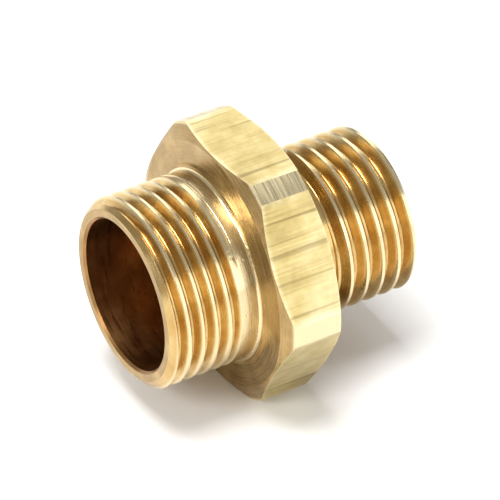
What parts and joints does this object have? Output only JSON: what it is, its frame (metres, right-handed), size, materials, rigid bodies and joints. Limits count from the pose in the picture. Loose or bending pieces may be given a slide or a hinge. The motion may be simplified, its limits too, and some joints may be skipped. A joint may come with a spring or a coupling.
{
  "type": "reducing coupling",
  "caption": "One-piece brass reducing coupling: a hexagon with a large fine male thread on one side, a smaller coarse male thread on the other, and a stepped bore right through",
  "frame": {"origin": "on the axis of the bore, halfway along the hexagon", "axes": "+X runs along the bore from the large thread to the small thread, +Z is square to the upper pair of wrench flats, and +Y runs across the hexagon's corners"},
  "size_m": [0.035, 0.0352, 0.0318],
  "materials": {
    "brass": "turned threads, necks and faces, drawn hexagon flats, satin to bright"
  },
  "bodies": {
    "root": {"coupling_body": "brass"}
  },
  "joints": []
}
